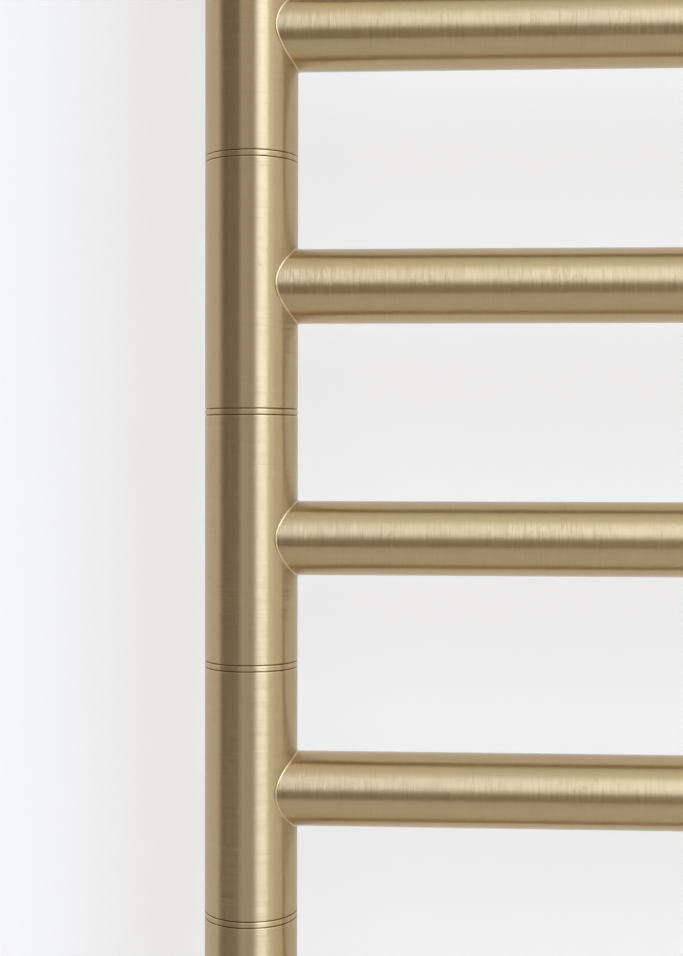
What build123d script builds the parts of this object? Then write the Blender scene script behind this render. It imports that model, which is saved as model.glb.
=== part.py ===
"""Electric heated towel rail: a ladder of round brass tubes on two posts, fixed to a wall by four brackets.

X runs along the rails, Y towards the wall and Z up. The origin is the centre of the four wall
brackets, on the wall's face. All sizes are in millimetres.
"""

import os
from math import sqrt

from build123d import *

# Driving dimensions
RAIL_COUNT = 7
RAIL_PITCH = 86.0
POST_SPACING = 500.0
WALL_TO_AXIS = 75.0
POST_DIAMETER = 31.8
POST_WALL = 1.5
RAIL_DIAMETER = 25.4
RAIL_WALL = 1.2
BAND_HEIGHT = 2.1
GROOVE_CHAMFER = 0.35
WELD_FILLET = 0.6

# Couplers and end caps, which plug into the posts
PLUG_CLEARANCE = 0.05
COUPLER_BORE = 25.2
COUPLER_PLUG_LENGTH = 10.0
PLUG_LEAD = 0.6
CAP_HEIGHT = 3.0
CAP_ROUNDING = 0.9
CAP_PLUG_LENGTH = 9.0
CAP_BORE = 20.0

# Wall brackets
BRACKET_FROM_RAIL = 28.0
STANDOFF_DIAMETER = 18.0
STANDOFF_BORE = 14.0
PLATE_DIAMETER = 40.0
PLATE_THICKNESS = 3.0
BOSS_DIAMETER = 21.0
HUB_CLEARANCE = 0.05
HUB_BORE = 10.5
HUB_LENGTH = 18.0
HUB_GROOVE_DEPTH = 0.5
HUB_GROOVE_WIDTH = 4.6
PLATE_SCREW_SPACING = 30.0
PLATE_SCREW_HOLE = 4.5
PLATE_SCREW_HEAD = 8.0
COUNTERBORE_DIAMETER = 14.2
COUNTERBORE_DEPTH = 1.5
ROSE_DIAMETER = 45.0
ROSE_HEIGHT = 7.0
ROSE_WALL = 1.2
ROSE_ROUNDING = 1.6
ROSE_CLEARANCE = 0.1
GRUB_DIAMETER = 4.0
GRUB_LENGTH = 3.0
GRUB_FROM_WALL = 13.0
GRUB_KEY_WIDTH = 2.0
GRUB_KEY_DEPTH = 1.6
THREAD_CLEARANCE = 0.04

# Supply entry, through the lower right bracket
LEAD_DIAMETER = 7.0
GLAND_LENGTH = 14.0
GLAND_FLANGE_DIAMETER = 13.8
SUPPLY_HOLE = 10.0

# Heating cable and what is on it
CABLE_DIAMETER = 5.5
CABLE_BEND = 12.0
CABLE_END_X = -218.0
SEAL_DIAMETER = 6.6
SEAL_LENGTH = 18.0
SEAL_CLEARANCE = 0.2
SEAL_ROUNDING = 1.2
LIMITER_DIAMETER = 7.0
LIMITER_LENGTH = 22.0
LIMITER_CLEARANCE = 0.1
LIMITER_X = 190.0
LIMITER_ROUNDING = 2.0

# Push switch in the foot of the right post
BUTTON_DIAMETER = 12.0
BUTTON_CLEARANCE = 0.08
BUTTON_PROUD = 2.3
BUTTON_EDGE = 0.6
BUTTON_DISH_WIDTH = 9.0
BUTTON_DISH_DEPTH = 0.5
BUTTON_TRAVEL = 2.0
SHOULDER_DIAMETER = 14.0
SHOULDER_HEIGHT = 1.5
LEDGE_HEIGHT = 1.0
GUIDE_PIN_DIAMETER = 3.6
GUIDE_PIN_LENGTH = 5.0
SWITCH_DIAMETER = 18.0
SWITCH_HEIGHT = 16.0
STOP_CLEARANCE = 0.1
SWITCH_CAVITY_DIAMETER = 14.6
SPRING_POCKET_DIAMETER = 9.4
SPRING_POCKET_HEIGHT = 7.4
SPRING_DIAMETER = 7.2
SPRING_WIRE = 0.6
SPRING_TURNS = 5
LIGHT_RING_DIAMETER = 19.0
LIGHT_RING_INNER = 14.6
LIGHT_RING_THICKNESS = 1.2
TERMINAL_LENGTH = 14.0
TERMINAL_DEPTH = 11.0
TERMINAL_HEIGHT = 21.5
TERMINAL_ROUNDING = 1.0
TERMINAL_SCREW_DIAMETER = 3.2
TERMINAL_SCREW_SPACING = 6.5
TERMINAL_SCREW_DEPTH = 2.5
EARTH_SCREW_DIAMETER = 3.0
EARTH_HEAD_DIAMETER = 4.6
EARTH_HEAD_HEIGHT = 1.8
EARTH_SCREW_LENGTH = 5.5
EARTH_HOLE_DEPTH = 6.0
EARTH_SLOT_WIDTH = 0.8

# Worked out from the driving dimensions
POST_RADIUS = POST_DIAMETER / 2
POST_BORE_RADIUS = POST_RADIUS - POST_WALL
PLUG_RADIUS = POST_BORE_RADIUS - PLUG_CLEARANCE
RAIL_RADIUS = RAIL_DIAMETER / 2
RAIL_BORE_RADIUS = RAIL_RADIUS - RAIL_WALL
POST_X = POST_SPACING / 2
AXIS_Y = -WALL_TO_AXIS
SEGMENT_HEIGHT = RAIL_PITCH - BAND_HEIGHT
HUB_RADIUS = STANDOFF_BORE / 2 - HUB_CLEARANCE
BOSS_END = ROSE_HEIGHT - ROSE_WALL
CABLE_DROP = RAIL_BORE_RADIUS - SEAL_DIAMETER / 2 - SEAL_CLEARANCE
CAVITY_TOP = LEDGE_HEIGHT + SHOULDER_HEIGHT + BUTTON_TRAVEL + STOP_CLEARANCE
POCKET_TOP = CAVITY_TOP + SPRING_POCKET_HEIGHT
SWITCH_TOP = LEDGE_HEIGHT + SWITCH_HEIGHT
EARTH_SCREW_RADIUS = (PLUG_RADIUS + SWITCH_DIAMETER / 2) / 2
TOP_RAIL_Z = RAIL_PITCH * (RAIL_COUNT - 1) / 2
BOTTOM_RAIL_Z = -TOP_RAIL_Z
FOOT_Z = BOTTOM_RAIL_Z - SEGMENT_HEIGHT / 2
SIDES = {"left": -POST_X, "right": POST_X}
BRACKET_LEVELS = {"upper": TOP_RAIL_Z - BRACKET_FROM_RAIL, "lower": BOTTOM_RAIL_Z + BRACKET_FROM_RAIL}


def rail_z(number):
    """Height of a rail's axis. Rail 1 is at the top."""
    return TOP_RAIL_Z - RAIL_PITCH * (number - 1)


def ring(outer_radius, inner_radius, low, high):
    """A plain tube along Z, between two heights."""
    tube = Cylinder(outer_radius, high - low) - Cylinder(inner_radius, high - low)
    return Pos(0, 0, (low + high) / 2) * tube


def disc(radius, low, high):
    """A solid cylinder along Z, between two heights."""
    return Pos(0, 0, (low + high) / 2) * Cylinder(radius, high - low)


def turned(points):
    """A solid turned about Z from a profile of (radius, height) points."""
    outline = Polyline(*[(radius, 0, height) for radius, height in points], close=True)
    return revolve(make_face(outline), Axis.Z)


def circles_at(part, radius, height):
    """The round edges of one radius at one height, about Z."""
    return [
        edge
        for edge in part.edges().filter_by(GeomType.CIRCLE)
        if abs(edge.radius - radius) < 1e-3 and abs(edge.center().Z - height) < 1e-3
    ]


def welded(bar, posts):
    """A bar coped over one or two posts, with the small fillet of its weld at each of them."""
    joined = bar + posts
    seams = [edge for edge in joined.edges() if edge.geom_type not in (GeomType.LINE, GeomType.CIRCLE)]
    return fillet(seams, WELD_FILLET) - posts


def post_segment(side, number):
    """One post tube, a rail pitch tall. The rail is welded over the hole in its inner side."""
    half = SEGMENT_HEIGHT / 2
    tube = ring(POST_RADIUS, POST_BORE_RADIUS, -half, half)
    rims = circles_at(tube, POST_RADIUS, half) + circles_at(tube, POST_RADIUS, -half)
    tube = chamfer(rims, GROOVE_CHAMFER)
    inner_side = POST_RADIUS if side == "left" else -POST_RADIUS
    tube -= Pos(inner_side, 0, 0) * Rot(0, 90, 0) * Cylinder(RAIL_BORE_RADIUS, POST_DIAMETER)
    if side == "right" and number == RAIL_COUNT:
        supply_way = Rot(90, 0, 0) * Cylinder(SUPPLY_HOLE / 2, POST_DIAMETER)
        tube -= Pos(0, POST_RADIUS, BRACKET_FROM_RAIL) * supply_way
    return Pos(SIDES[side], AXIS_Y, rail_z(number)) * tube


def coupler(side, number):
    """The flanged sleeve between two segments. Its rim shows as the thin band between two grooves."""
    half = BAND_HEIGHT / 2
    end = half + COUPLER_PLUG_LENGTH
    bore = COUPLER_BORE / 2
    upper = [
        (POST_RADIUS, half - GROOVE_CHAMFER),
        (POST_RADIUS - GROOVE_CHAMFER, half),
        (PLUG_RADIUS, half),
        (PLUG_RADIUS, end - PLUG_LEAD),
        (PLUG_RADIUS - PLUG_LEAD, end),
        (bore, end),
    ]
    lower = [(radius, -height) for radius, height in reversed(upper)]
    return Pos(SIDES[side], AXIS_Y, rail_z(number) - RAIL_PITCH / 2) * turned(lower + upper)


def rail(number):
    """A rail tube, coped and welded onto both posts."""
    posts = [Pos(x, 0, 0) * Cylinder(POST_RADIUS, SEGMENT_HEIGHT) for x in SIDES.values()]
    tube = welded(Rot(0, 90, 0) * Cylinder(RAIL_RADIUS, POST_SPACING), posts)
    tube -= Rot(0, 90, 0) * Cylinder(RAIL_BORE_RADIUS, POST_SPACING)
    return Pos(0, AXIS_Y, rail_z(number)) * tube


def end_cap():
    """A cap for the top of a post, standing on its joint face at height 0, with its plug below."""
    bore = CAP_BORE / 2
    cap = turned(
        [
            (0, 0),
            (bore, 0),
            (bore, -CAP_PLUG_LENGTH),
            (PLUG_RADIUS - PLUG_LEAD, -CAP_PLUG_LENGTH),
            (PLUG_RADIUS, PLUG_LEAD - CAP_PLUG_LENGTH),
            (PLUG_RADIUS, 0),
            (POST_RADIUS - GROOVE_CHAMFER, 0),
            (POST_RADIUS, GROOVE_CHAMFER),
            (POST_RADIUS, CAP_HEIGHT),
            (0, CAP_HEIGHT),
        ]
    )
    return fillet(circles_at(cap, POST_RADIUS, CAP_HEIGHT), CAP_ROUNDING)


def at_foot(part, x=POST_X, y=AXIS_Y):
    """A part moved to the foot of a post, where height 0 is the joint face of the foot cap."""
    return Pos(x, y, FOOT_Z) * part


def top_cap(side):
    """The cap that closes the top of a post."""
    return Pos(SIDES[side], AXIS_Y, -FOOT_Z) * end_cap()


def plain_foot_cap():
    """The cap that closes the foot of the left post."""
    return at_foot(Rot(180, 0, 0) * end_cap(), x=-POST_X)


def switch_foot_cap():
    """The cap in the foot of the right post, bored for the push button and recessed for its light ring."""
    button_way = BUTTON_DIAMETER / 2 + BUTTON_CLEARANCE
    cap = Rot(180, 0, 0) * end_cap()
    cap += ring(PLUG_RADIUS - PLUG_LEAD, SWITCH_DIAMETER / 2 + PLUG_CLEARANCE, 0, CAP_PLUG_LENGTH)
    cap += disc(PLUG_RADIUS - PLUG_LEAD, 0, LEDGE_HEIGHT)
    cap -= disc(button_way, -CAP_HEIGHT, LEDGE_HEIGHT)
    recess = ring(LIGHT_RING_DIAMETER / 2, LIGHT_RING_INNER / 2, 0, LIGHT_RING_THICKNESS)
    cap -= Pos(0, 0, -CAP_HEIGHT) * recess
    tapping = disc(EARTH_SCREW_DIAMETER / 2, CAP_PLUG_LENGTH - EARTH_HOLE_DEPTH, CAP_PLUG_LENGTH)
    cap -= Pos(0, -EARTH_SCREW_RADIUS, 0) * tapping
    return at_foot(cap)


def light_ring():
    """The clear ring round the push button, flush with the foot cap."""
    outer = LIGHT_RING_DIAMETER / 2 - PLUG_CLEARANCE
    inner = LIGHT_RING_INNER / 2 + PLUG_CLEARANCE
    return at_foot(ring(outer, inner, -CAP_HEIGHT, LIGHT_RING_THICKNESS - CAP_HEIGHT))


def power_button():
    """The push button: a dished head, a shoulder that holds it in the cap, and a pin inside the spring."""
    face = -CAP_HEIGHT - BUTTON_PROUD
    head = BUTTON_DIAMETER / 2
    shoulder_top = LEDGE_HEIGHT + SHOULDER_HEIGHT
    pin_top = shoulder_top + GUIDE_PIN_LENGTH
    button = turned(
        [
            (0, face),
            (head, face),
            (head, LEDGE_HEIGHT),
            (SHOULDER_DIAMETER / 2, LEDGE_HEIGHT),
            (SHOULDER_DIAMETER / 2, shoulder_top),
            (GUIDE_PIN_DIAMETER / 2, shoulder_top),
            (GUIDE_PIN_DIAMETER / 2, pin_top),
            (0, pin_top),
        ]
    )
    button = fillet(circles_at(button, head, face), BUTTON_EDGE)
    dish_radius = (BUTTON_DISH_WIDTH**2 / 4 + BUTTON_DISH_DEPTH**2) / (2 * BUTTON_DISH_DEPTH)
    button -= Pos(0, 0, face + BUTTON_DISH_DEPTH - dish_radius) * Sphere(dish_radius)
    return at_foot(button)


def switch_body():
    """The switch housing behind the button, open below for the shoulder and the return spring."""
    body = disc(SWITCH_DIAMETER / 2, LEDGE_HEIGHT, SWITCH_TOP)
    body -= disc(SWITCH_CAVITY_DIAMETER / 2, LEDGE_HEIGHT, CAVITY_TOP)
    body -= disc(SPRING_POCKET_DIAMETER / 2, CAVITY_TOP, POCKET_TOP)
    return at_foot(body)


def button_spring():
    """The helical spring between the button's shoulder and the top of its pocket."""
    low = LEDGE_HEIGHT + SHOULDER_HEIGHT + SPRING_WIRE / 2
    height = POCKET_TOP - SPRING_WIRE / 2 - low
    coil = Pos(0, 0, low) * Helix(height / SPRING_TURNS, height, (SPRING_DIAMETER - SPRING_WIRE) / 2)
    section = Plane(coil @ 0, z_dir=coil % 0) * Circle(SPRING_WIRE / 2)
    return at_foot(sweep(section, path=coil))


def terminal_block():
    """The connector block on top of the switch body, with its two clamp screws recessed in the front."""
    block = Box(TERMINAL_LENGTH, TERMINAL_DEPTH, TERMINAL_HEIGHT)
    block = fillet(block.edges().filter_by(Axis.Z), TERMINAL_ROUNDING)
    for offset in (-TERMINAL_SCREW_SPACING / 2, TERMINAL_SCREW_SPACING / 2):
        recess = Rot(90, 0, 0) * Cylinder(TERMINAL_SCREW_DIAMETER / 2, 2 * TERMINAL_SCREW_DEPTH)
        block -= Pos(offset, -TERMINAL_DEPTH / 2, 0) * recess
    return at_foot(Pos(0, 0, SWITCH_TOP + TERMINAL_HEIGHT / 2) * block)


def earth_screw():
    """The slotted screw that clamps the earth wire to the foot cap."""
    shank = disc(EARTH_SCREW_DIAMETER / 2 - THREAD_CLEARANCE, -EARTH_SCREW_LENGTH, 0)
    head = disc(EARTH_HEAD_DIAMETER / 2, 0, EARTH_HEAD_HEIGHT)
    slot = Pos(0, 0, EARTH_HEAD_HEIGHT) * Box(EARTH_HEAD_DIAMETER, EARTH_SLOT_WIDTH, EARTH_HEAD_HEIGHT)
    screw = Pos(0, 0, CAP_PLUG_LENGTH) * (shank + head - slot)
    return at_foot(screw, y=AXIS_Y - EARTH_SCREW_RADIUS)


def heating_cable():
    """The heating cable: from the terminal block through every rail in turn, lying low in each of them."""
    heights = [rail_z(number) - CABLE_DROP for number in range(RAIL_COUNT, 0, -1)]
    points = [(POST_X - TERMINAL_LENGTH / 2, heights[0])]
    x = -POST_X
    for lower, upper in zip(heights, heights[1:]):
        points += [(x, lower), (x, upper)]
        x = -x
    points.append((CABLE_END_X, heights[-1]))
    route = FilletPolyline(*[(px, AXIS_Y, pz) for px, pz in points], radius=CABLE_BEND)
    section = Plane(route @ 0, z_dir=route % 0) * Circle(CABLE_DIAMETER / 2)
    return sweep(section, path=route)


def cable_end_seal():
    """The moulded seal on the far end of the heating cable."""
    seal = Rot(0, 90, 0) * Cylinder(SEAL_DIAMETER / 2, SEAL_LENGTH)
    seal = fillet(seal.edges().sort_by(Axis.X)[0], SEAL_ROUNDING)
    return Pos(CABLE_END_X - SEAL_LENGTH / 2, AXIS_Y, TOP_RAIL_Z - CABLE_DROP) * seal


def thermal_limiter():
    """The thermal cut-out capsule, wedged beside the heating cable in the lowest rail."""
    from_axis = RAIL_BORE_RADIUS - LIMITER_DIAMETER / 2 - LIMITER_CLEARANCE
    from_cable = (LIMITER_DIAMETER + CABLE_DIAMETER) / 2
    drop = (from_axis**2 + CABLE_DROP**2 - from_cable**2) / (2 * CABLE_DROP)
    towards_wall = sqrt(from_axis**2 - drop**2)
    capsule = Rot(0, 90, 0) * Cylinder(LIMITER_DIAMETER / 2, LIMITER_LENGTH)
    capsule = fillet(capsule.edges().filter_by(GeomType.CIRCLE), LIMITER_ROUNDING)
    return Pos(LIMITER_X, AXIS_Y + towards_wall, BOTTOM_RAIL_Z - drop) * capsule


def bracket_part(part, side, level):
    """A bracket part, made with its axis up from the wall's face, moved to its place on the wall."""
    return Pos(SIDES[side], 0, BRACKET_LEVELS[level]) * Rot(90, 0, 0) * part


def standoff(side, level):
    """The bracket tube, welded to the back of its post, with a tapped hole for its grub screw."""
    post = Pos(0, 0, WALL_TO_AXIS) * Rot(90, 0, 0) * Cylinder(POST_RADIUS, SEGMENT_HEIGHT)
    tube = welded(disc(STANDOFF_DIAMETER / 2, BOSS_END, WALL_TO_AXIS), [post])
    tube -= disc(STANDOFF_BORE / 2, BOSS_END, WALL_TO_AXIS)
    tapping = Rot(90, 0, 0) * Cylinder(GRUB_DIAMETER / 2, STANDOFF_BORE)
    tube -= Pos(0, -STANDOFF_DIAMETER / 2, GRUB_FROM_WALL) * tapping
    return bracket_part(tube, side, level)


def wall_plate(side, level):
    """The turned plate that two screws hold to the wall. The standoff slides over its hub."""
    hub_end = BOSS_END + HUB_LENGTH
    groove_low = GRUB_FROM_WALL - HUB_GROOVE_WIDTH / 2
    groove_high = GRUB_FROM_WALL + HUB_GROOVE_WIDTH / 2
    plate = turned(
        [
            (HUB_BORE / 2, COUNTERBORE_DEPTH),
            (COUNTERBORE_DIAMETER / 2, COUNTERBORE_DEPTH),
            (COUNTERBORE_DIAMETER / 2, 0),
            (PLATE_DIAMETER / 2, 0),
            (PLATE_DIAMETER / 2, PLATE_THICKNESS),
            (BOSS_DIAMETER / 2, PLATE_THICKNESS),
            (BOSS_DIAMETER / 2, BOSS_END),
            (HUB_RADIUS, BOSS_END),
            (HUB_RADIUS, groove_low),
            (HUB_RADIUS - HUB_GROOVE_DEPTH, groove_low),
            (HUB_RADIUS - HUB_GROOVE_DEPTH, groove_high),
            (HUB_RADIUS, groove_high),
            (HUB_RADIUS, hub_end - PLUG_LEAD),
            (HUB_RADIUS - PLUG_LEAD, hub_end),
            (HUB_BORE / 2, hub_end),
        ]
    )
    sink = (PLATE_SCREW_HEAD - PLATE_SCREW_HOLE) / 2
    hole = disc(PLATE_SCREW_HOLE / 2, 0, PLATE_THICKNESS)
    hole += Pos(0, 0, PLATE_THICKNESS - sink / 2) * Cone(PLATE_SCREW_HOLE / 2, PLATE_SCREW_HEAD / 2, sink)
    for offset in (-PLATE_SCREW_SPACING / 2, PLATE_SCREW_SPACING / 2):
        plate -= Pos(0, offset, 0) * hole
    return bracket_part(plate, side, level)


def cover_rose(side, level):
    """The cover over a wall plate. It slides on the standoff and seats on the plate's boss."""
    outer = ROSE_DIAMETER / 2
    rose = disc(outer, 0, ROSE_HEIGHT)
    rose = fillet(circles_at(rose, outer, ROSE_HEIGHT), ROSE_ROUNDING)
    rose -= disc(outer - ROSE_WALL, 0, BOSS_END)
    rose -= disc(STANDOFF_DIAMETER / 2 + ROSE_CLEARANCE, 0, ROSE_HEIGHT)
    return bracket_part(rose, side, level)


def grub_screws():
    """The four grub screws that clamp the standoffs to the hubs, as separate solids."""
    seat = HUB_RADIUS - HUB_GROOVE_DEPTH
    screw = disc(GRUB_DIAMETER / 2 - THREAD_CLEARANCE, seat, seat + GRUB_LENGTH)
    key = extrude(RegularPolygon(GRUB_KEY_WIDTH / 2, 6, major_radius=False), GRUB_KEY_DEPTH)
    screw -= Pos(0, 0, seat + GRUB_LENGTH - GRUB_KEY_DEPTH) * key
    screw = Pos(0, 0, GRUB_FROM_WALL) * Rot(90, 0, 0) * screw
    return Compound([bracket_part(screw, side, level) for side in SIDES for level in BRACKET_LEVELS])


def supply_gland():
    """The rubber gland in the lower right wall plate, bored for the supply lead."""
    body = HUB_BORE / 2 - HUB_CLEARANCE
    gland = ring(body, LEAD_DIAMETER / 2, 0, GLAND_LENGTH)
    gland += ring(GLAND_FLANGE_DIAMETER / 2, body, 0, COUNTERBORE_DEPTH)
    return bracket_part(gland, "right", "lower")


def all_parts():
    """Every piece of the towel rail, by the name of its node."""
    parts = {}
    for side in SIDES:
        for number in range(1, RAIL_COUNT + 1):
            parts[f"{side}_post_segment_{number}"] = post_segment(side, number)
        for number in range(1, RAIL_COUNT):
            parts[f"{side}_coupler_{number}"] = coupler(side, number)
        for level in BRACKET_LEVELS:
            parts[f"{level}_{side}_standoff"] = standoff(side, level)
            parts[f"{level}_{side}_wall_plate"] = wall_plate(side, level)
            parts[f"{level}_{side}_cover_rose"] = cover_rose(side, level)
        parts[f"{side}_top_cap"] = top_cap(side)
    for number in range(1, RAIL_COUNT + 1):
        parts[f"rail_{number}"] = rail(number)
    parts["left_foot_cap"] = plain_foot_cap()
    parts["right_foot_cap"] = switch_foot_cap()
    parts["grub_screws"] = grub_screws()
    parts["power_button"] = power_button()
    parts["button_spring"] = button_spring()
    parts["light_ring"] = light_ring()
    parts["switch_body"] = switch_body()
    parts["terminal_block"] = terminal_block()
    parts["earth_screw"] = earth_screw()
    parts["heating_cable"] = heating_cable()
    parts["cable_end_seal"] = cable_end_seal()
    parts["thermal_limiter"] = thermal_limiter()
    parts["supply_gland"] = supply_gland()
    return parts


if __name__ == "__main__":
    os.makedirs("parts", exist_ok=True)
    for name, part in all_parts().items():
        export_step(part, f"parts/{name}.step")
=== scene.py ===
"""Dresses the electric heated towel rail: brass tubes, brackets, push switch, heating parts and studio.

Everything is in metres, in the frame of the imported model: X along the rails, Y into the wall, Z up, with
the origin on the wall's face in the middle of the four brackets.
"""

from __future__ import annotations

import logging
import math
from dataclasses import dataclass
from enum import Enum

import bpy
from mathutils import Matrix, Vector

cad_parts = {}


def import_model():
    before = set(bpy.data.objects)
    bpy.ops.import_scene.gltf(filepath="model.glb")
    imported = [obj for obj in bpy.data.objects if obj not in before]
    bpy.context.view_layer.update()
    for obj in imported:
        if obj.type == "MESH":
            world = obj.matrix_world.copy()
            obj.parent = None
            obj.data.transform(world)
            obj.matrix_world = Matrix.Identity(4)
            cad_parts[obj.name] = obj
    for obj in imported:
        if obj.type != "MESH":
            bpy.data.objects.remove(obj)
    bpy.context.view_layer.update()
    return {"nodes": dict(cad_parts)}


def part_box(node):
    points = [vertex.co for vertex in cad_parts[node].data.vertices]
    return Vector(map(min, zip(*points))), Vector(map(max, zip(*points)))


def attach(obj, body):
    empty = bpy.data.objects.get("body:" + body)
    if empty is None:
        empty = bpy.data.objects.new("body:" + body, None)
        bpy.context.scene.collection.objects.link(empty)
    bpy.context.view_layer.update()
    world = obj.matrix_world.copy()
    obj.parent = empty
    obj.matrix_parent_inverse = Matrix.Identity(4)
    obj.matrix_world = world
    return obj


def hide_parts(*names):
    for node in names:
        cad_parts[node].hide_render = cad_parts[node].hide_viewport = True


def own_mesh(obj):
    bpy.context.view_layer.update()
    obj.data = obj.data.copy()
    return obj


LOG = logging.getLogger("towel_rail")
MM = 0.001

POST_X = 0.250
AXIS_Y = -0.075
BRACKET_Z = 0.230
RAIL_COUNT = 7
RAIL_PITCH = 0.086
BAND_HEIGHT = 0.0021
POST_RADIUS = 0.0159
RAIL_RADIUS = 0.0127
LADDER_BODY = "towel_rail"


class Axis(Enum):
    """The direction that a tube or a turned piece runs in."""

    X = 0
    Y = 1
    Z = 2


class Num:
    """A number that flows through a node tree, with Python's arithmetic on it."""

    def __init__(self, graph: Graph, socket: bpy.types.NodeSocket) -> None:
        """Keeps the socket that the number comes out of.

        Args:
            graph: the tree that the socket is in.
            socket: the output socket.
        """
        self.graph = graph
        self.socket = socket

    def _with(self, operation: str, *values: Num | float) -> Num:
        """A Math node on this number and others, in the order given."""
        return self.graph.math(operation, *values)

    def __add__(self, other: Num | float) -> Num:
        """This number plus another."""
        return self._with("ADD", self, other)

    __radd__ = __add__

    def __sub__(self, other: Num | float) -> Num:
        """This number less another."""
        return self._with("SUBTRACT", self, other)

    def __rsub__(self, other: Num | float) -> Num:
        """Another number less this one."""
        return self._with("SUBTRACT", other, self)

    def __mul__(self, other: Num | float) -> Num:
        """This number times another."""
        return self._with("MULTIPLY", self, other)

    __rmul__ = __mul__

    def __abs__(self) -> Num:
        """This number without its sign."""
        return self._with("ABSOLUTE", self)


class Graph:
    """A node tree that is written as a series of short calls."""

    def __init__(self, tree: bpy.types.NodeTree) -> None:
        """Empties a tree and keeps it.

        Args:
            tree: the material's or the world's node tree.
        """
        tree.nodes.clear()
        self.tree = tree

    def add(self, kind: str, settings: dict | None = None, **sockets: object) -> bpy.types.Node:
        """Adds a node.

        Args:
            kind: the node's type, such as ShaderNodeMath.
            settings: what is set on the node before its sockets, such as its operation.
            sockets: a value, a socket or a Num for each input, by its name with spaces as
                underscores, or by its place as in_0.

        Returns:
            The node.
        """
        node = self.tree.nodes.new(kind)
        for key, value in (settings or {}).items():
            setattr(node, key, value)
        for key, value in sockets.items():
            place = int(key[3:]) if key.startswith("in_") else key.replace("_", " ")
            self._feed(node.inputs[place], value)
        return node

    def _feed(self, target: bpy.types.NodeSocket, value: object) -> None:
        """Links a socket or a Num into an input, or sets a plain value on it."""
        if isinstance(value, Num):
            value = value.socket
        if isinstance(value, bpy.types.NodeSocket):
            self.tree.links.new(value, target)
        else:
            target.default_value = value

    def math(self, operation: str, *values: Num | float) -> Num:
        """A Math node's result.

        Args:
            operation: the node's operation.
            values: its inputs, in order.

        Returns:
            The number that comes out.
        """
        node = self.add("ShaderNodeMath", {"operation": operation})
        for place, value in enumerate(values):
            self._feed(node.inputs[place], value)
        return Num(self, node.outputs[0])

    def ramp(self, value: Num, low: float, high: float) -> Num:
        """A number that rises smoothly from 0 at low to 1 at high.

        Args:
            value: the number that is looked up.
            low: where the rise starts.
            high: where it ends.

        Returns:
            The smooth step.
        """
        settings = {"interpolation_type": "SMOOTHSTEP"}
        node = self.add("ShaderNodeMapRange", settings, Value=value, From_Min=low, From_Max=high)
        return Num(self, node.outputs[0])

    def band(self, value: Num, limits: tuple[float, float, float, float]) -> Num:
        """A number that is 1 in the middle of a band and 0 outside it, with smooth sides.

        Args:
            value: the number that is looked up.
            limits: where the rise starts and ends, and where the fall starts and ends.

        Returns:
            The share of the band.
        """
        low, full_low, full_high, high = limits
        return self.ramp(value, low, full_low) * (1.0 - self.ramp(value, full_high, high))

    def vector(self, operation: str, *values: object) -> bpy.types.NodeSocket:
        """A Vector Math node's vector result.

        Args:
            operation: the node's operation.
            values: its inputs, in order.

        Returns:
            The output socket.
        """
        node = self.add("ShaderNodeVectorMath", {"operation": operation})
        for place, value in enumerate(values):
            self._feed(node.inputs[place], value)
        return node.outputs[0]

    def scaled(self, vector: object, factor: Num | float) -> bpy.types.NodeSocket:
        """A vector times a number."""
        node = self.add("ShaderNodeVectorMath", {"operation": "SCALE"}, in_0=vector, Scale=factor)
        return node.outputs[0]

    def mix(self, factor: Num | float, first: object, second: object) -> bpy.types.NodeSocket:
        """A colour between two others.

        Args:
            factor: how much of the second colour there is.
            first: the colour at 0.
            second: the colour at 1.

        Returns:
            The mixed colour's socket.
        """
        settings = {"data_type": "RGBA"}
        node = self.add("ShaderNodeMix", settings, in_0=factor, in_6=first, in_7=second)
        return node.outputs[2]

    def blend(self, share: object, first: bpy.types.Node, second: bpy.types.Node) -> bpy.types.Node:
        """A shader between two others.

        Args:
            share: how much of the second shader there is.
            first: the shader at 0.
            second: the shader at 1.

        Returns:
            The Mix Shader node.
        """
        shaders = {"in_1": first.outputs[0], "in_2": second.outputs[0]}
        return self.add("ShaderNodeMixShader", in_0=share, **shaders)

    def places(self) -> tuple[bpy.types.NodeSocket, Num, Num, Num]:
        """The object coordinates, whole and as X, Y and Z."""
        whole = self.add("ShaderNodeTexCoord").outputs["Object"]
        parts = self.add("ShaderNodeSeparateXYZ", in_0=whole)
        x, y, z = (Num(self, output) for output in parts.outputs)
        return whole, x, y, z

    def noise(self, vector: bpy.types.NodeSocket, scale: float, detail: float) -> Num:
        """Fractal noise about 0.5.

        Args:
            vector: where it is looked up.
            scale: its features to the metre.
            detail: how many finer layers it has.

        Returns:
            The noise.
        """
        node = self.add("ShaderNodeTexNoise", Vector=vector, Scale=scale, Detail=detail)
        return Num(self, node.outputs[0])


def new_material(name: str) -> tuple[bpy.types.Material, Graph]:
    """An empty material with nodes, and the graph that fills it.

    Args:
        name: the material's name.

    Returns:
        The material and its graph.
    """
    material = bpy.data.materials.new(name)
    material.use_nodes = True
    return material, Graph(material.node_tree)


def toned(colour: tuple[float, float, float], gain: float) -> tuple[float, float, float, float]:
    """A colour made lighter or darker, with its alpha."""
    return (*(min(1.0, part * gain) for part in colour), 1.0)


def clouded(g: Graph, colour: tuple[float, float, float], cloud: Num) -> bpy.types.NodeSocket:
    """A colour that goes from a little darker to a little lighter with a noise."""
    return g.mix(cloud, toned(colour, 0.85), toned(colour, 1.12))


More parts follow.
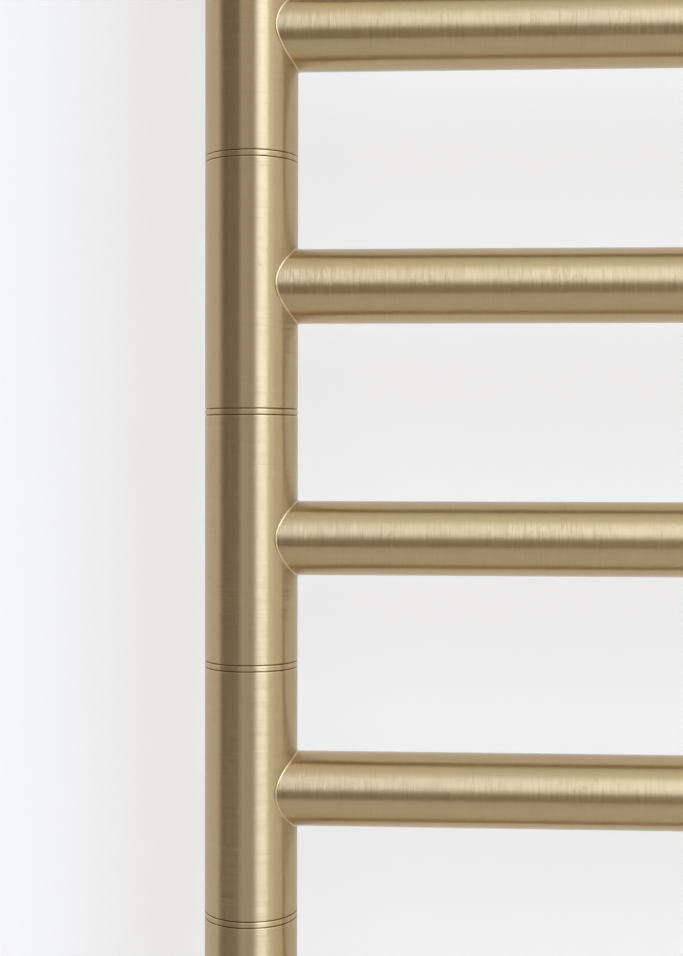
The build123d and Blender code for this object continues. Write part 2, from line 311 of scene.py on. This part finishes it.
@dataclass(frozen=True)
class BrushedBrass:
    """Pale brass, brushed round the tube, so that its gloss spreads along the tube."""

    name: str
    axis: Axis
    across: tuple[float, float] | None = None
    colour: tuple[float, float, float] = (0.54, 0.405, 0.234)
    tones: tuple[float, float] = (0.72, 1.28)
    roughness: float = 0.38
    spread: float = 1.0
    line_pitch: float = 0.00020
    line_length: float = 0.025
    line_tilt: float = 0.9
    line_shade: float = 0.25
    line_gloss: float = 0.16
    coarse_share: float = 0.07
    coarse_stretch: float = 0.15
    patch_scale: float = 60.0
    patch_shade: float = 0.12
    patch_gloss: float = 0.05
    joints: tuple[float, float] | None = None
    # Painted shade: a darker colour on a band in each post groove, over its real chamfers.
    groove_shade_colour: tuple[float, float, float] = (0.19, 0.11, 0.048)
    groove_shade_band: tuple[float, float, float, float] = (-0.28, -0.12, 0.04, 0.20)
    edge_band: tuple[float, float, float, float] = (-0.70, -0.42, -0.30, -0.24)
    # Painted highlight: the rounded edge under each groove is made lighter; its normal is also tilted up.
    edge_highlight_gain: float = 1.3
    edge_tilt: float = 0.22

    def material(self) -> bpy.types.Material:
        """Builds the finish.

        Returns:
            The material.
        """
        material, g = new_material(self.name)
        whole, x, y, z = g.places()
        along, side, rise = ((x, y, z), (y, x, z), (z, x, y))[self.axis.value]
        if self.across:
            side_from = abs(side) - self.across[0]
            rise_from = (abs(rise) if self.axis is Axis.Y else rise) - self.across[1]
            along = along + g.math("SQRT", side_from * side_from + rise_from * rise_from)
        to_pitch = 1.0 / self.line_pitch
        to_length = 1.0 / self.line_length
        spot = g.add(
            "ShaderNodeCombineXYZ",
            in_0=along * to_pitch,
            in_1=side * to_length,
            in_2=rise * to_length,
        ).outputs[0]
        fine = g.noise(spot, 1.0, 2.0)
        coarse = g.noise(g.vector("MULTIPLY", spot, (self.coarse_stretch, 1.0, 1.0)), 1.0, 2.0)
        patch = g.noise(whole, self.patch_scale, 3.0) - 0.5
        lines = fine * (1.0 - self.coarse_share) + coarse * self.coarse_share - 0.5
        shade = lines * self.line_shade + patch * self.patch_shade
        darker, lighter = (toned(self.colour, gain) for gain in self.tones)
        colour = g.mix(shade + 0.5, darker, lighter)
        tip = lines * self.line_tilt
        if self.joints:
            lit, dark = self._joint_sides(g, (x, y, z)[self.axis.value])
            # Painted highlight: the colour of the rounded edge under each groove is made lighter.
            edge_highlighted = g.mix(lit, colour, toned(self.colour, self.edge_highlight_gain))
            # Painted shade: each groove is made darker, on top of its real chamfers.
            colour = g.mix(dark, edge_highlighted, (*self.groove_shade_colour, 1.0))
            tip = tip + lit * self.edge_tilt
        roughness = self.roughness + lines * self.line_gloss + patch * self.patch_gloss
        normal = g.add("ShaderNodeNewGeometry").outputs["Normal"]
        run = Vector([1.0 if place == self.axis.value else 0.0 for place in range(3)])
        tilt = g.scaled(tuple(run), tip)
        tilted = g.vector("NORMALIZE", g.vector("ADD", normal, tilt))
        tangent = g.add("ShaderNodeTangent", {"direction_type": "RADIAL", "axis": self.axis.name})
        shader = g.add(
            "ShaderNodeBsdfPrincipled",
            Base_Color=colour,
            Metallic=1.0,
            Roughness=roughness,
            Anisotropic=self.spread,
            Anisotropic_Rotation=0.25,
            Tangent=tangent.outputs[0],
            Normal=tilted,
        )
        g.add("ShaderNodeOutputMaterial", Surface=shader.outputs[0])
        return material

    def _joint_sides(self, g: Graph, height: Num) -> tuple[Num, Num]:
        """Where a post's grooves have their rounded lower edge, which gets a painted highlight, and where
        they get painted shade.

        Args:
            g: the material's graph.
            height: the place along the post.

        Returns:
            The share of the rounded edge under each groove, which gets a painted highlight, and the share
            of the groove itself, which gets painted shade.
        """
        pitch, joint_from_rail = self.joints
        from_rail = g.math("WRAP", height, pitch / 2, -pitch / 2)
        above = g.math("SIGN", from_rail) * (abs(from_rail) - joint_from_rail) * (1.0 / MM)
        lit = g.band(above, self.edge_band)
        dark = g.band(above, self.groove_shade_band)
        return lit, dark


@dataclass(frozen=True)
class Moulded:
    """Plastic, rubber or silicone with a fine grain."""

    name: str
    colour: tuple[float, float, float]
    roughness: float
    grain: float = 900.0
    depth: float = 0.00002
    alpha: float = 1.0

    def material(self) -> bpy.types.Material:
        """Builds the finish.

        Returns:
            The material.
        """
        material, g = new_material(self.name)
        whole = g.places()[0]
        grain = g.noise(whole, self.grain, 3.0)
        cloud = g.noise(whole, self.grain / 15.0, 2.0)
        bump = g.add("ShaderNodeBump", Strength=0.4, Distance=self.depth, Height=grain)
        shader = g.add(
            "ShaderNodeBsdfPrincipled",
            Base_Color=clouded(g, self.colour, cloud),
            Roughness=self.roughness + (grain - 0.5) * 0.2,
            Normal=bump.outputs[0],
        )
        if self.alpha < 1.0:
            shader.inputs["Alpha"].default_value = self.alpha
        g.add("ShaderNodeOutputMaterial", Surface=shader.outputs[0])
        return material


@dataclass(frozen=True)
class PlatedSteel:
    """Zinc-plated or bare metal with a satin face and faint turning marks."""

    name: str
    colour: tuple[float, float, float] = (0.60, 0.61, 0.62)
    roughness: float = 0.32
    cloud_scale: float = 180.0
    mark_scale: float = 2500.0

    def material(self) -> bpy.types.Material:
        """Builds the finish.

        Returns:
            The material.
        """
        material, g = new_material(self.name)
        whole = g.places()[0]
        cloud = g.noise(whole, self.cloud_scale, 4.0)
        marks = g.noise(whole, self.mark_scale, 2.0)
        shader = g.add(
            "ShaderNodeBsdfPrincipled",
            Base_Color=clouded(g, self.colour, cloud),
            Metallic=1.0,
            Roughness=self.roughness + (marks - 0.5) * 0.25,
        )
        g.add("ShaderNodeOutputMaterial", Surface=shader.outputs[0])
        return material


@dataclass(frozen=True)
class StudioPaint:
    """Matt pale paint that shows only from its front, so that views from behind see the object, and that
    darkens away from its centre as painted shade.
    """

    name: str
    colour: tuple[float, float, float]
    falloff_shade_colour: tuple[float, float, float]
    centre: tuple[float, float, float]
    fade_from: float
    fade_to: float
    flat: float
    flat_level: float = 0.98

    def material(self) -> bpy.types.Material:
        """Builds the finish.

        Returns:
            The material.
        """
        material, g = new_material(self.name)
        whole = g.places()[0]
        # Painted shade: the colour goes darker with distance from the centre, as if a near lamp lit the
        # paint.
        away = g.add("ShaderNodeVectorMath", {"operation": "DISTANCE"}, in_0=whole, in_1=self.centre)
        fade = g.ramp(Num(g, away.outputs["Value"]), self.fade_from, self.fade_to)
        colour = g.mix(fade, (*self.colour, 1.0), (*self.falloff_shade_colour, 1.0))
        paint = g.add("ShaderNodeBsdfDiffuse", Color=colour)
        rays = g.add("ShaderNodeLightPath").outputs
        shown = g.math("MAXIMUM", Num(g, rays["Is Camera Ray"]), Num(g, rays["Is Glossy Ray"]))
        glow = g.add("ShaderNodeEmission", Strength=self.flat_level)
        lifted = g.blend(shown * self.flat, paint, glow)
        clear = g.add("ShaderNodeBsdfTransparent")
        behind = g.add("ShaderNodeNewGeometry").outputs["Backfacing"]
        shader = g.blend(behind, lifted, clear)
        g.add("ShaderNodeOutputMaterial", Surface=shader.outputs[0])
        return material


def dress(nodes: dict, names: list[str], material: bpy.types.Material) -> None:
    """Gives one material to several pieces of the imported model.

    Args:
        nodes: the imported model's objects by name.
        names: the pieces to dress.
        material: what they get.
    """
    for name in names:
        mesh = nodes[name].data
        mesh.materials.clear()
        mesh.materials.append(material)
        LOG.info("%s: %s", name, material.name)


def add_piece(
    name: str,
    verts: list,
    faces: list,
    material: bpy.types.Material,
) -> bpy.types.Object:
    """Makes a smooth piece with its finish, on the ladder's body.

    Args:
        name: the piece's name.
        verts: its points.
        faces: its faces, as places in verts.
        material: its finish.

    Returns:
        The piece.
    """
    mesh = bpy.data.meshes.new(name)
    mesh.from_pydata(verts, [], faces)
    mesh.polygons.foreach_set("use_smooth", [True] * len(mesh.polygons))
    mesh.materials.append(material)
    piece = bpy.data.objects.new(name, mesh)
    bpy.context.scene.collection.objects.link(piece)
    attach(piece, LADDER_BODY)
    LOG.info("%s: %s", name, material.name)
    return piece


def ring_points(
    centre: Vector, outward: Vector, run: Vector, radius: float, sides: int
) -> list[Vector]:
    """The points of one ring of a tube.

    Args:
        centre: the ring's centre.
        outward: the unit vector from the centre to the first point, square to the run.
        run: the tube's direction, of any length.
        radius: the tube's radius.
        sides: how many points there are.

    Returns:
        The points.
    """
    across = run.cross(outward).normalized()
    points = []
    for side in range(sides):
        angle = 2 * math.pi * side / sides
        spoke = outward * math.cos(angle) + across * math.sin(angle)
        points.append(centre + spoke * radius)
    return points


def tube_faces(rings: int, sides: int, closed: bool) -> list[tuple[int, ...]]:
    """The faces of a tube whose points are kept ring by ring.

    Args:
        rings: how many rings there are.
        sides: how many points a ring has.
        closed: whether the last ring joins the first. If not, both ends are capped.

    Returns:
        The faces, as places in the points.
    """
    faces = []
    for ring in range(rings if closed else rings - 1):
        here = ring * sides
        there = (ring + 1) % rings * sides
        for side in range(sides):
            beside = (side + 1) % sides
            faces.append((here + side, here + beside, there + beside, there + side))
    if not closed:
        faces.append(tuple(reversed(range(sides))))
        faces.append(tuple(range((rings - 1) * sides, rings * sides)))
    return faces


@dataclass
class Ladder:
    """The posts, the sleeves between their segments, their caps and the rails."""

    nodes: dict

    def dress(self) -> None:
        """Gives the tubes their brushed brass."""
        joints = (RAIL_PITCH, (RAIL_PITCH - BAND_HEIGHT) / 2)
        post = BrushedBrass(
            "brass_post", Axis.Z, across=(POST_X, AXIS_Y), roughness=0.42, joints=joints
        ).material()
        rail = BrushedBrass("brass_rail", Axis.X, line_length=0.006, line_tilt=0.7).material()
        posts = [f"{s}_post_segment_{n}" for s in ("left", "right") for n in range(1, RAIL_COUNT + 1)]
        posts += [f"{s}_coupler_{n}" for s in ("left", "right") for n in range(1, RAIL_COUNT)]
        posts += ["left_top_cap", "right_top_cap", "left_foot_cap", "right_foot_cap", "power_button"]
        dress(self.nodes, posts, post)
        dress(self.nodes, [f"rail_{n}" for n in range(1, RAIL_COUNT + 1)], rail)


@dataclass
class Welds:
    """The polished beads where the rails run into the posts."""

    bead_radius: float = 0.00070
    bead_lift: float = -0.00037
    steps: int = 120
    sides: int = 10
    look_ahead: float = 0.1

    def build(self) -> None:
        """Makes a bead at each end of each rail."""
        brass = BrushedBrass("brass_weld", Axis.X, roughness=0.34, spread=0.0, line_tilt=0.05)
        finish = brass.material()
        for level in range(RAIL_COUNT):
            height = ((RAIL_COUNT - 1) / 2 - level) * RAIL_PITCH
            for side, name in ((1, "left"), (-1, "right")):
                self._bead(f"weld_{name}_{level + 1}", side, height, finish)

    def _bead(self, name: str, inward: int, height: float, finish: bpy.types.Material) -> None:
        """One bead, as a closed tube round the seam.

        Args:
            name: the piece's name.
            inward: 1 where the rail leaves its post towards +X, and -1 where it leaves it towards -X.
            height: the rail's Z.
            finish: the bead's material.
        """
        verts = []
        for step in range(self.steps):
            centre, outward = self._seam(2 * math.pi * step / self.steps, inward, height)
            ahead = self._seam(2 * math.pi * (step + self.look_ahead) / self.steps, inward, height)[0]
            middle = centre + outward * self.bead_lift
            verts += ring_points(middle, outward, ahead - centre, self.bead_radius, self.sides)
        faces = tube_faces(self.steps, self.sides, closed=True)
        add_piece(name, verts, faces, finish)

    def _seam(self, angle: float, inward: int, height: float) -> tuple[Vector, Vector]:
        """A point of the seam and the way out of its corner.

        Args:
            angle: the place round the rail, from the wall upwards.
            inward: 1 or -1, the way in which the rail leaves its post along X.
            height: the rail's Z.

        Returns:
            The point, and the unit vector halfway between the normals of the post and the rail.
        """
        back = RAIL_RADIUS * math.cos(angle)
        rise = RAIL_RADIUS * math.sin(angle)
        reach = math.sqrt(POST_RADIUS**2 - back**2)
        point = Vector((inward * (reach - POST_X), AXIS_Y + back, height + rise))
        post_normal = Vector((inward * reach, back, 0.0)).normalized()
        rail_normal = Vector((0.0, back, rise)).normalized()
        return point, (post_normal + rail_normal).normalized()


@dataclass
class Brackets:
    """The four wall brackets with their cover roses and screws."""

    nodes: dict

    def dress(self) -> None:
        """Gives the tubes and roses brass, and the plates and screws plated steel."""
        brass = BrushedBrass("brass_bracket", Axis.Y, across=(POST_X, BRACKET_Z)).material()
        steel = PlatedSteel("plated_steel").material()
        corners = [f"{level}_{side}" for level in ("upper", "lower") for side in ("left", "right")]
        dress(self.nodes, [f"{corner}_standoff" for corner in corners], brass)
        dress(self.nodes, [f"{corner}_cover_rose" for corner in corners], brass)
        dress(self.nodes, [f"{corner}_wall_plate" for corner in corners], steel)
        dress(self.nodes, ["grub_screws", "earth_screw"], steel)


@dataclass
class ReturnSpring:
    """The power button's spring, wound at one length."""

    wire: float = 0.0006
    turns: int = 5
    steps: int = 40
    sides: int = 10
    button_travel: float = 0.002

    def build(self) -> None:
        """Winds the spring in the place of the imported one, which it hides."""
        low, high = (Vector(corner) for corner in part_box("button_spring"))
        middle = (low + high) / 2
        coil_radius = (high.x - low.x - self.wire) / 2
        rise = (high.z - low.z - self.wire) / (self.turns * self.steps)
        verts = []
        for step in range(self.turns * self.steps + 1):
            angle = 2 * math.pi * step / self.steps
            outward = Vector((math.cos(angle), math.sin(angle), 0.0))
            start = Vector((middle.x, middle.y, low.z + self.wire / 2 + rise * step))
            round_coil = Vector((-outward.y, outward.x, 0.0)) * (2 * math.pi * coil_radius / self.steps)
            run = round_coil + Vector((0.0, 0.0, rise))
            verts += ring_points(start + outward * coil_radius, outward, run, self.wire / 2, self.sides)
        faces = tube_faces(self.turns * self.steps + 1, self.sides, closed=False)
        finish = PlatedSteel("spring_steel", (0.55, 0.56, 0.57), 0.28).material()
        spring = add_piece("return_spring", verts, faces, finish)
        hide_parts("button_spring")
        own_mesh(spring)


@dataclass
class Works:
    """The heating cable, the switch and the other inner parts."""

    nodes: dict

    def dress(self) -> None:
        """Gives each inner part its own plastic, rubber or metal."""
        silicone = Moulded("silicone", (0.55, 0.12, 0.08), 0.5).material()
        black = Moulded("black_plastic", (0.03, 0.03, 0.03), 0.45).material()
        white = Moulded("white_plastic", (0.80, 0.79, 0.75), 0.4).material()
        rubber = Moulded("black_rubber", (0.03, 0.03, 0.03), 0.7).material()
        lens = Moulded("clear_lens", (0.85, 0.88, 0.92), 0.3, alpha=0.6).material()
        case = PlatedSteel("limiter_case", (0.75, 0.76, 0.78), 0.25).material()
        dress(self.nodes, ["heating_cable", "cable_end_seal"], silicone)
        dress(self.nodes, ["switch_body"], black)
        dress(self.nodes, ["terminal_block"], white)
        dress(self.nodes, ["supply_gland"], rubber)
        dress(self.nodes, ["light_ring"], lens)
        dress(self.nodes, ["thermal_limiter"], case)


@dataclass(frozen=True)
class Panel:
    """A soft-edged lit panel around the towel rail, placed by angles in degrees."""

    name: str
    turn: tuple[float, float, float, float]
    rise: tuple[float, float, float, float]
    level: float
    colour: tuple[float, float, float] = (1.0, 1.0, 1.0)

    def glow(self, g: Graph, turn: Num, rise: Num) -> bpy.types.NodeSocket:
        """What the panel adds to the light from a direction.

        Args:
            g: the world's graph.
            turn: the direction's angle to the right of straight out from the wall.
            rise: its angle above the level.

        Returns:
            The socket of the added colour.
        """
        share = g.band(turn, self.turn) * g.band(rise, self.rise)
        return g.scaled(self.colour, share * self.level)


@dataclass
class Studio:
    """The wall, the floor, the lamps and the camera."""

    surround: tuple[float, float, float] = (0.095, 0.071, 0.04)
    backdrop: tuple[float, float, float, float] = (0.86, 0.86, 0.86, 1.0)
    wall_gap: float = 0.0004
    floor_z: float = -0.75
    wall_half: float = 1.6
    wall_top: float = 1.6
    floor_depth: float = 1.7
    camera_place: tuple[float, float, float] = (-0.18997, -0.60229, 0.02888)
    camera_yaw: float = 3.157
    camera_pitch: float = -0.901
    camera_roll: float = 0.109
    focal_pixels: float = 1543.5
    picture_height: float = 956.0
    sensor: float = 36.0
    nearest: float = 0.01
    farthest: float = 100.0

    def build(self) -> None:
        """Makes the stage, the light and the camera."""
        self._plane(
            "backdrop_wall",
            [
                (-self.wall_half, self.wall_gap, self.floor_z),
                (self.wall_half, self.wall_gap, self.floor_z),
                (self.wall_half, self.wall_gap, self.wall_top),
                (-self.wall_half, self.wall_gap, self.wall_top),
            ],
            StudioPaint(
                "wall_paint",
                colour=(0.93, 0.89, 0.865),
                falloff_shade_colour=(0.76, 0.725, 0.70),
                centre=(0.0, 0.0, 0.0),
                fade_from=0.35,
                fade_to=1.1,
                flat=0.60,
            ),
        )
        self._plane(
            "floor",
            [
                (-self.wall_half, -self.floor_depth, self.floor_z),
                (self.wall_half, -self.floor_depth, self.floor_z),
                (self.wall_half, self.wall_gap, self.floor_z),
                (-self.wall_half, self.wall_gap, self.floor_z),
            ],
            StudioPaint(
                "floor_paint",
                colour=(0.76, 0.72, 0.68),
                falloff_shade_colour=(0.66, 0.63, 0.60),
                centre=(0.0, 0.0, self.floor_z),
                fade_from=0.3,
                fade_to=1.7,
                flat=0.05,
            ),
        )
        self._world()
        self._camera()

    def _plane(self, name: str, corners: list[tuple], paint: StudioPaint) -> None:
        """One flat stage piece.

        Args:
            name: its name.
            corners: its corners, anticlockwise as seen from its front.
            paint: its finish.
        """
        mesh = bpy.data.meshes.new(name)
        mesh.from_pydata(corners, [], [range(len(corners))])
        piece = bpy.data.objects.new(name, mesh)
        bpy.context.scene.collection.objects.link(piece)
        mesh.materials.append(paint.material())

    def _world(self) -> None:
        """The surround: dim and warm, with soft lit panels, and plain pale where the camera sees it."""
        world = bpy.data.worlds.new("studio")
        world.use_nodes = True
        g = Graph(world.node_tree)
        way = g.add("ShaderNodeTexCoord").outputs["Generated"]
        parts = g.add("ShaderNodeSeparateXYZ", in_0=way)
        x, y, z = (Num(g, output) for output in parts.outputs)
        turn = g.math("ARCTAN2", x, y * -1.0) * math.degrees(1.0)
        rise = g.math("ARCSINE", z) * math.degrees(1.0)
        light: object = self.surround
        for panel in self._panels():
            light = g.vector("ADD", light, panel.glow(g, turn, rise))
            LOG.info("panel %s", panel.name)
        studio = g.add("ShaderNodeBackground", Color=light)
        pale = g.add("ShaderNodeBackground", Color=self.backdrop)
        seen = g.add("ShaderNodeLightPath").outputs["Is Camera Ray"]
        shader = g.blend(seen, studio, pale)
        g.add("ShaderNodeOutputWorld", Surface=shader.outputs[0])
        bpy.context.scene.world = world

    def _panels(self) -> list[Panel]:
        """The lit panels: the key, those from the right round to the left, the top and the low."""
        cool = (1.0, 1.21, 1.58)
        white = (1.0, 1.07, 1.07)
        plain = (1.0, 0.99, 0.96)
        warm = (1.0, 0.94, 0.82)
        tall = (-60, -30, 40, 75)
        round_all = (-200, -190, 190, 200)
        return [
            Panel("key", (11.5, 27, 42, 52), (-3, 14, 32, 66), 4.35, cool),
            Panel("key_high", (4, 16, 38, 50), (10, 24, 38, 54), 0.7, cool),
            Panel("right", (36, 47, 130, 170), tall, 0.88, white),
            Panel("right_edge", (45, 50, 61, 68), tall, 0.34, white),
            Panel("right_far", (80, 90, 110, 124), tall, 0.55, white),
            Panel("right_low", (0, 20, 100, 130), (-40, -24, 0, 12), 0.30, warm),
            Panel("front", (-28, -21, 0, 14), (-12, 12, 36, 74), 0.78, plain),
            Panel("front_strip", (-24, -20, -15, -11), (-30, -10, 40, 60), 0.14, warm),
            Panel("front_low", (-30, -14, 20, 34), (-34, -20, -10, 2), 0.12, warm),
            Panel("left", (-130, -100, -85, -80), tall, 0.60, white),
            Panel("left_edge", (-93, -90, -77, -70), tall, 0.40, white),
            Panel("left_strip", (-60, -57, -47, -43), tall, 0.10, warm),
            Panel("top", round_all, (34, 66, 91, 92), 0.88, white),
            Panel("low", round_all, (-92, -91, -76, -34), 0.42, warm),
        ]

    def _camera(self) -> None:
        """The camera, where the photograph was taken from."""
        data = bpy.data.cameras.new("camera")
        data.sensor_width = self.sensor
        data.lens = self.focal_pixels * self.sensor / self.picture_height
        data.clip_start = self.nearest
        data.clip_end = self.farthest
        camera = bpy.data.objects.new("camera", data)
        yaw = Matrix.Rotation(math.radians(self.camera_yaw), 4, "Z")
        pitch = Matrix.Rotation(math.radians(90.0 + self.camera_pitch), 4, "X")
        roll = Matrix.Rotation(math.radians(self.camera_roll), 4, "Z")
        camera.matrix_world = Matrix.Translation(self.camera_place) @ yaw @ pitch @ roll
        bpy.context.scene.collection.objects.link(camera)
        bpy.context.scene.camera = camera


def main() -> None:
    """Builds the picture in order: the frame, the pieces, the studio."""
    logging.basicConfig(level=logging.INFO, format="%(message)s")
    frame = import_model()
    nodes = frame["nodes"]
    Ladder(nodes).dress()
    Welds().build()
    Brackets(nodes).dress()
    ReturnSpring().build()
    Works(nodes).dress()
    Studio().build()
    bpy.context.scene.view_settings.view_transform = "Standard"


if __name__ == "__main__":
    main()
